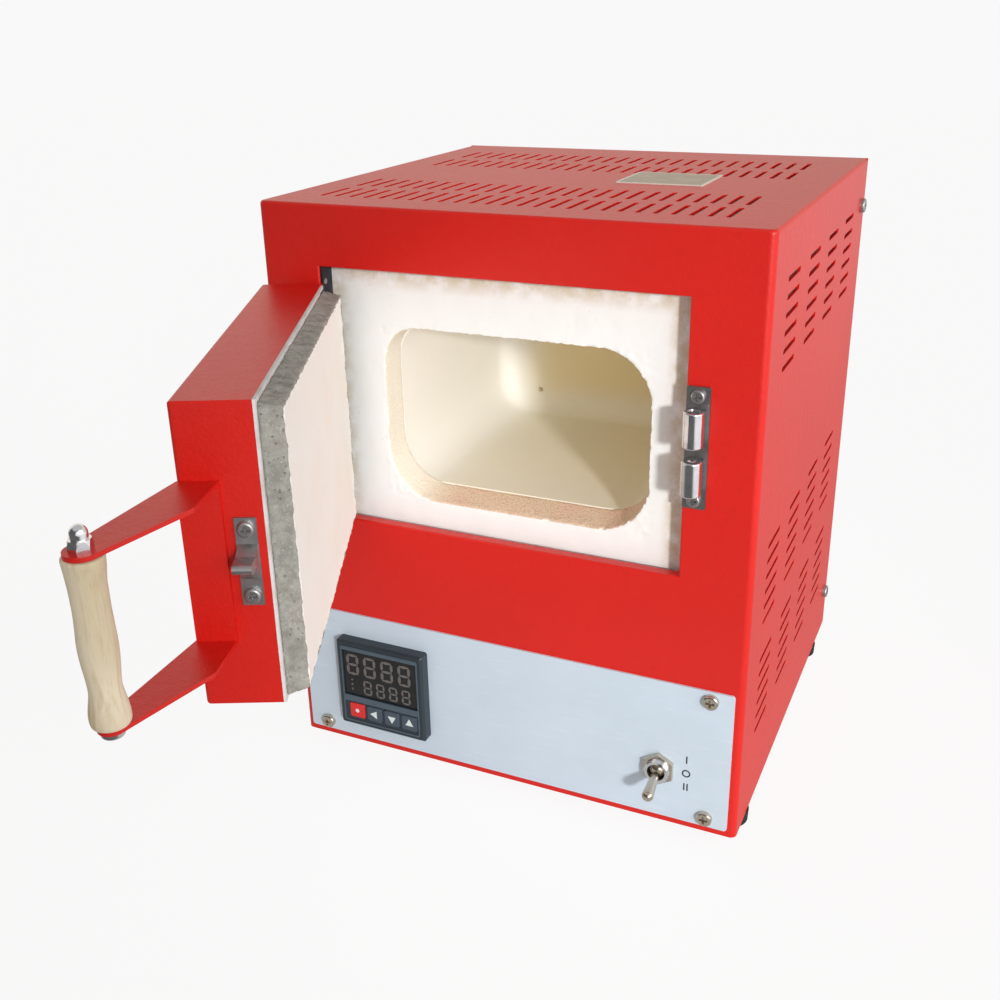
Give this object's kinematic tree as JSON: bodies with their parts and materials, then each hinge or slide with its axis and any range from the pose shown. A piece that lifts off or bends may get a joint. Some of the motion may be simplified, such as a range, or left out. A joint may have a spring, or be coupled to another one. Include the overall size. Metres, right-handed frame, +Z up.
{
  "type": "jewellery kiln",
  "caption": "Bench kiln with a folded steel case, vent slots, a fibre-lined chamber, a side-hinged door with a wooden handle and ball catch, and a control plate below.",
  "frame": {"origin": "on the surface the feet stand on, under the middle of the whole kiln's outline with its door standing open as in the picture; the case's front sheet is 3.6 mm in front of it", "axes": "+Z up, +Y from the door side to the back panel, +X to the right seen from the front"},
  "size_m": [0.2368, 0.4449, 0.2844],
  "materials": {
    "red_steel": "gloss",
    "plate_grey": "satin",
    "zinc_steel": "satin",
    "bright_steel": "polished",
    "white_fibre": "matte",
    "cream_fibre": "matte",
    "grey_cement": "matte",
    "probe_ceramic": "matte",
    "gasket_white": "matte",
    "element_wire": "matte",
    "black_rubber": "matte",
    "dark_plastic": "matte",
    "window_dark": "gloss",
    "button_red": "satin",
    "button_grey": "satin",
    "label_grey": "satin",
    "pale_wood": "satin",
    "cooling_aluminium": "satin",
    "black_plastic": "matte",
    "wire_cover": "matte"
  },
  "bodies": {
    "kiln": {"outer_case": "red_steel", "back_panel": "red_steel", "base_plate": "zinc_steel", "rubber_feet": "black_rubber", "foot_screws": "zinc_steel", "back_panel_screws": "bright_steel", "control_plate": "plate_grey", "control_plate_screws": "bright_steel", "top_label": "label_grey", "front_brick": "white_fibre", "chamber_muffle": "cream_fibre", "muffle_insulation": "white_fibre", "heating_element": "element_wire", "thermocouple": "probe_ceramic", "chamber_liner": "zinc_steel", "heat_shield_shelf": "zinc_steel", "hinge_case_leaf": "zinc_steel", "hinge_pin": "zinc_steel", "hinge_rivets": "zinc_steel", "controller_bezel": "dark_plastic", "controller_window": "window_dark", "controller_housing": "dark_plastic", "controller_clamp": "dark_plastic", "toggle_body": "black_plastic", "toggle_bushing": "bright_steel", "toggle_nut": "bright_steel", "catch_plate": "zinc_steel", "catch_barrel_upper": "bright_steel", "catch_barrel_lower": "bright_steel", "catch_spring_upper": "zinc_steel", "catch_spring_lower": "zinc_steel", "catch_adjusters": "zinc_steel", "catch_screws": "zinc_steel", "power_inlet": "black_plastic", "fuse_holder": "black_plastic", "power_relay": "black_plastic", "cooling_plate": "cooling_aluminium", "terminal_block": "probe_ceramic", "equipment_screws": "zinc_steel", "internal_wiring": "wire_cover"},
    "door": {"door_shell": "red_steel", "door_gasket": "gasket_white", "door_slab": "white_fibre", "slab_cement_edge": "grey_cement", "door_insulation": "white_fibre", "hinge_door_leaf": "zinc_steel", "handle_bracket": "red_steel", "handle_grip": "pale_wood", "handle_bolt": "bright_steel", "handle_nut": "bright_steel", "strike_plate": "zinc_steel", "strike_screws": "bright_steel"},
    "power_toggle": {"toggle_lever": "bright_steel"},
    "set_key": {"set_button": "button_red"},
    "left_key": {"left_button": "button_grey"},
    "down_key": {"down_button": "button_grey"},
    "up_key": {"up_button": "button_grey"},
    "upper_ball": {"catch_ball_upper": "bright_steel"},
    "lower_ball": {"catch_ball_lower": "bright_steel"}
  },
  "joints": [
    {"name": "door_hinge", "type": "hinge", "parent": "kiln", "child": "door", "pos_m": [-0.0851, -0.00578, 0.1925], "axis": [0, 0, -1], "range_deg": [-65, 24.5]},
    {"name": "toggle_pivot", "type": "hinge", "parent": "kiln", "child": "power_toggle", "pos_m": [0.0789, -0.00508, 0.036], "axis": [-1, 0, 0], "range_deg": [0, 34]},
    {"name": "set_press", "type": "slide", "parent": "kiln", "child": "set_key", "axis": [0, 1, 0], "range_m": [0, 0.0006], "stiffness_N_per_m": 2000, "springref_m": -0.0005},
    {"name": "left_press", "type": "slide", "parent": "kiln", "child": "left_key", "axis": [0, 1, 0], "range_m": [0, 0.0006], "stiffness_N_per_m": 2000, "springref_m": -0.0005},
    {"name": "down_press", "type": "slide", "parent": "kiln", "child": "down_key", "axis": [0, 1, 0], "range_m": [0, 0.0006], "stiffness_N_per_m": 2000, "springref_m": -0.0005},
    {"name": "up_press", "type": "slide", "parent": "kiln", "child": "up_key", "axis": [0, 1, 0], "range_m": [0, 0.0006], "stiffness_N_per_m": 2000, "springref_m": -0.0005},
    {"name": "upper_ball_slide", "type": "slide", "parent": "kiln", "child": "upper_ball", "axis": [0, 0, 1], "range_m": [0, 0.0009], "stiffness_N_per_m": 6000, "springref_m": -0.001, "deforming": ["catch_spring_upper"]},
    {"name": "lower_ball_slide", "type": "slide", "parent": "kiln", "child": "lower_ball", "axis": [0, 0, -1], "range_m": [0, 0.0009], "stiffness_N_per_m": 6000, "springref_m": -0.001, "deforming": ["catch_spring_lower"]}
  ]
}
